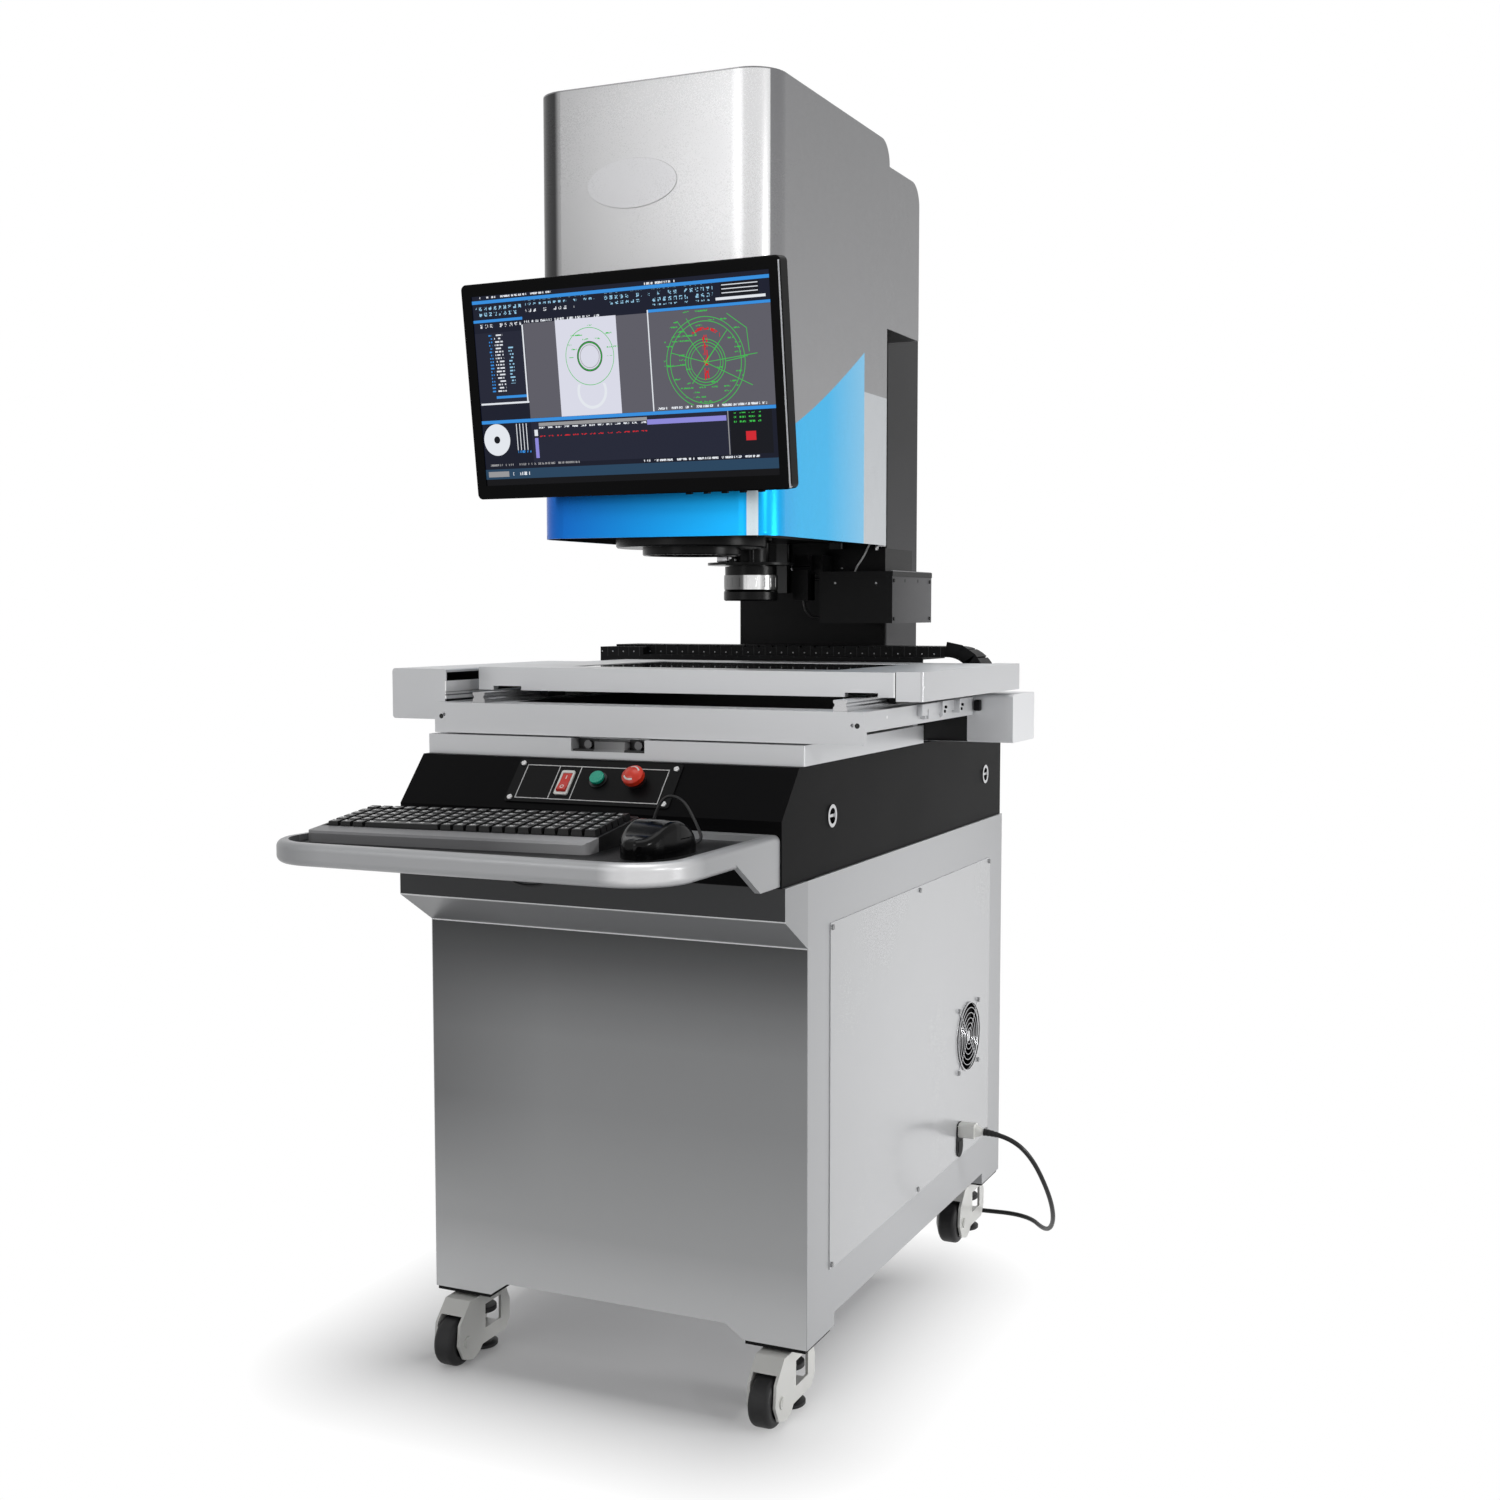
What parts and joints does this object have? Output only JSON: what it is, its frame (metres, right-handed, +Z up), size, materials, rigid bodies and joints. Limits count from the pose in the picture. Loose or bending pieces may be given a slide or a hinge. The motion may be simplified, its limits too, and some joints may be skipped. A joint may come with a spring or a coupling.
{
  "type": "vision measuring machine",
  "caption": "Free-standing optical measuring machine: wheeled cabinet, moving glass stage, lens head on a column, swivelling display and keyboard tray.",
  "frame": {"origin": "floor level, under the middle of the box round everything but the loose cords", "axes": "+X to the right along the front, +Y from front to back, +Z up"},
  "size_m": [0.8261, 1.437, 1.86],
  "materials": {
    "silver_paint": "satin metallic grey",
    "silver_panel": "glossy metallic grey",
    "black_paint": "fine textured black",
    "head_paint": "silver with a blue lower part",
    "black_anodised": "black anodised",
    "anodised": "satin anodised",
    "rail_steel": "ground steel",
    "bright_steel": "bright plated",
    "zinc": "zinc plated",
    "black_plastic": "matt black",
    "gloss_black": "glossy black",
    "key_plastic": "matt black with printed marks",
    "board": "black with white lines",
    "white_plastic": "white",
    "red_plastic": "red",
    "green_plastic": "green",
    "mat_rubber": "black",
    "wheel_rubber": "black nylon tread",
    "caster_paint": "pale ivory enamel",
    "pad_plastic": "black",
    "stage_glass": "clear",
    "screen": "lit display",
    "cord_rubber": "black",
    "lens_black": "black anodised"
  },
  "bodies": {
    "machine": {"cabinet_body": "silver_paint", "access_panel": "silver_panel", "fasteners": "zinc", "caster_mounts": "zinc", "housing": "black_paint", "lift_sockets": "bright_steel", "control_panel": "board", "switch_bezels": "white_plastic", "base_plate": "anodised", "lock_bracket": "black_anodised", "fixed_rails": "rail_steel", "x_drive_cover": "anodised", "column": "black_paint", "head_cover": "head_paint", "side_box": "black_paint", "tray": "silver_paint", "tray_mat": "mat_rubber", "keyboard_case": "black_plastic", "mouse_body": "gloss_black", "fan_frame": "black_plastic", "fan_grille": "bright_steel", "power_inlet": "black_plastic", "monitor_bracket": "black_paint", "drag_chain": "black_plastic", "keyboard_cord": "cord_rubber", "mouse_cord": "cord_rubber", "power_connector": "white_plastic", "power_cord": "cord_rubber", "power_cord_coil": "cord_rubber"},
    "key_bank": {"keyboard_keys": "key_plastic"},
    "mouse_keys": {"mouse_buttons": "gloss_black"},
    "scroll_wheel": {"mouse_wheel": "wheel_rubber"},
    "fan": {"fan_rotor": "black_plastic"},
    "middle_stage": {"x_carriage": "anodised", "y_rails": "rail_steel", "y_drive_cover": "anodised"},
    "top_stage": {"stage_frame": "anodised", "stage_glass": "stage_glass"},
    "head_carriage": {"z_carriage": "black_anodised", "telecentric_lens": "lens_black", "zoom_lens": "lens_black"},
    "zoom_grip": {"zoom_ring": "bright_steel"},
    "display_arm": {"monitor_arm": "black_paint"},
    "display": {"monitor_case": "gloss_black", "monitor_screen": "screen"},
    "rocker": {"power_rocker": "red_plastic"},
    "lamp_key": {"lamp_button": "green_plastic"},
    "stop_key": {"emergency_stop": "red_plastic"},
    "fork_fl": {"caster_fork_fl": "caster_paint"},
    "wheel_fl": {"caster_wheel_fl": "wheel_rubber"},
    "pad_fl": {"levelling_pad_fl": "pad_plastic"},
    "fork_fr": {"caster_fork_fr": "caster_paint"},
    "wheel_fr": {"caster_wheel_fr": "wheel_rubber"},
    "pad_fr": {"levelling_pad_fr": "pad_plastic"},
    "fork_rl": {"caster_fork_rl": "caster_paint"},
    "wheel_rl": {"caster_wheel_rl": "wheel_rubber"},
    "pad_rl": {"levelling_pad_rl": "pad_plastic"},
    "fork_rr": {"caster_fork_rr": "caster_paint"},
    "wheel_rr": {"caster_wheel_rr": "wheel_rubber"},
    "pad_rr": {"levelling_pad_rr": "pad_plastic"}
  },
  "joints": [
    {"name": "keys_press", "type": "slide", "parent": "machine", "child": "key_bank", "axis": [0.0078, -0.0886, 0.996], "range_m": [-0.003, 0], "stiffness_N_per_m": 1500, "springref_m": 0.003},
    {"name": "mouse_click", "type": "hinge", "parent": "machine", "child": "mouse_keys", "pos_m": [0.17937, -0.49691, 0.8322], "axis": [0.9744, -0.225, 0], "range_deg": [-1.2, 0], "stiffness_Nm_per_rad": 2, "springref_deg": 1.72},
    {"name": "scroll_turn", "type": "hinge", "parent": "machine", "child": "scroll_wheel", "pos_m": [0.18425, -0.47577, 0.838], "axis": [0.9744, -0.225, 0], "continuous": true},
    {"name": "fan_turn", "type": "hinge", "parent": "machine", "child": "fan", "pos_m": [0.26, 0.4598, 0.3884], "axis": [1, 0, 0], "continuous": true},
    {"name": "x_travel", "type": "slide", "parent": "machine", "child": "middle_stage", "axis": [1, 0, 0], "range_m": [-0.212, 0.088]},
    {"name": "y_travel", "type": "slide", "parent": "middle_stage", "child": "top_stage", "axis": [0, 1, 0], "range_m": [-0.157, 0.043]},
    {"name": "z_travel", "type": "slide", "parent": "machine", "child": "head_carriage", "axis": [0, 0, 1], "range_m": [-0.09, 0.1]},
    {"name": "zoom_turn", "type": "hinge", "parent": "head_carriage", "child": "zoom_grip", "pos_m": [-0.0275, 0.232, 1.1545], "axis": [0, 0, 1], "range_deg": [-80, 80]},
    {"name": "display_swivel", "type": "hinge", "parent": "machine", "child": "display_arm", "pos_m": [-0.01657, -0.14258, 1.42965], "axis": [0, 0, 1], "range_deg": [-9, 12]},
    {"name": "display_tilt", "type": "hinge", "parent": "display_arm", "child": "display", "pos_m": [-0.01754, -0.16255, 1.42965], "axis": [0.9988, -0.0489, 0], "range_deg": [-15, 4.5]},
    {"name": "power_rock", "type": "hinge", "parent": "machine", "child": "rocker", "pos_m": [-0.07, -0.29675, 0.87062], "axis": [1, 0, 0], "range_deg": [0, 14]},
    {"name": "lamp_press", "type": "slide", "parent": "machine", "child": "lamp_key", "axis": [0, -0.7455, 0.6665], "range_m": [-0.003, 0], "stiffness_N_per_m": 400, "springref_m": 0.003},
    {"name": "stop_press", "type": "slide", "parent": "machine", "child": "stop_key", "axis": [0, -0.7455, 0.6665], "range_m": [-0.004, 0]},
    {"name": "fork_swivel_fl", "type": "hinge", "parent": "machine", "child": "fork_fl", "pos_m": [-0.2795, -0.2, 0.092], "axis": [0, 0, 1], "continuous": true},
    {"name": "wheel_roll_fl", "type": "hinge", "parent": "fork_fl", "child": "wheel_fl", "pos_m": [-0.2795, -0.271, 0.036], "axis": [1, 0, 0], "continuous": true},
    {"name": "pad_level_fl", "type": "slide", "parent": "fork_fl", "child": "pad_fl", "axis": [0, 0, 1], "range_m": [-0.012, 0.002]},
    {"name": "fork_swivel_fr", "type": "hinge", "parent": "machine", "child": "fork_fr", "pos_m": [0.2245, -0.2, 0.092], "axis": [0, 0, 1], "continuous": true},
    {"name": "wheel_roll_fr", "type": "hinge", "parent": "fork_fr", "child": "wheel_fr", "pos_m": [0.2245, -0.271, 0.036], "axis": [1, 0, 0], "continuous": true},
    {"name": "pad_level_fr", "type": "slide", "parent": "fork_fr", "child": "pad_fr", "axis": [0, 0, 1], "range_m": [-0.012, 0.002]},
    {"name": "fork_swivel_rl", "type": "hinge", "parent": "machine", "child": "fork_rl", "pos_m": [-0.2795, 0.606, 0.092], "axis": [0, 0, 1], "continuous": true},
    {"name": "wheel_roll_rl", "type": "hinge", "parent": "fork_rl", "child": "wheel_rl", "pos_m": [-0.2795, 0.535, 0.036], "axis": [1, 0, 0], "continuous": true},
    {"name": "pad_level_rl", "type": "slide", "parent": "fork_rl", "child": "pad_rl", "axis": [0, 0, 1], "range_m": [-0.012, 0.002]},
    {"name": "fork_swivel_rr", "type": "hinge", "parent": "machine", "child": "fork_rr", "pos_m": [0.2245, 0.606, 0.092], "axis": [0, 0, 1], "continuous": true},
    {"name": "wheel_roll_rr", "type": "hinge", "parent": "fork_rr", "child": "wheel_rr", "pos_m": [0.2245, 0.535, 0.036], "axis": [1, 0, 0], "continuous": true},
    {"name": "pad_level_rr", "type": "slide", "parent": "fork_rr", "child": "pad_rr", "axis": [0, 0, 1], "range_m": [-0.012, 0.002]}
  ]
}
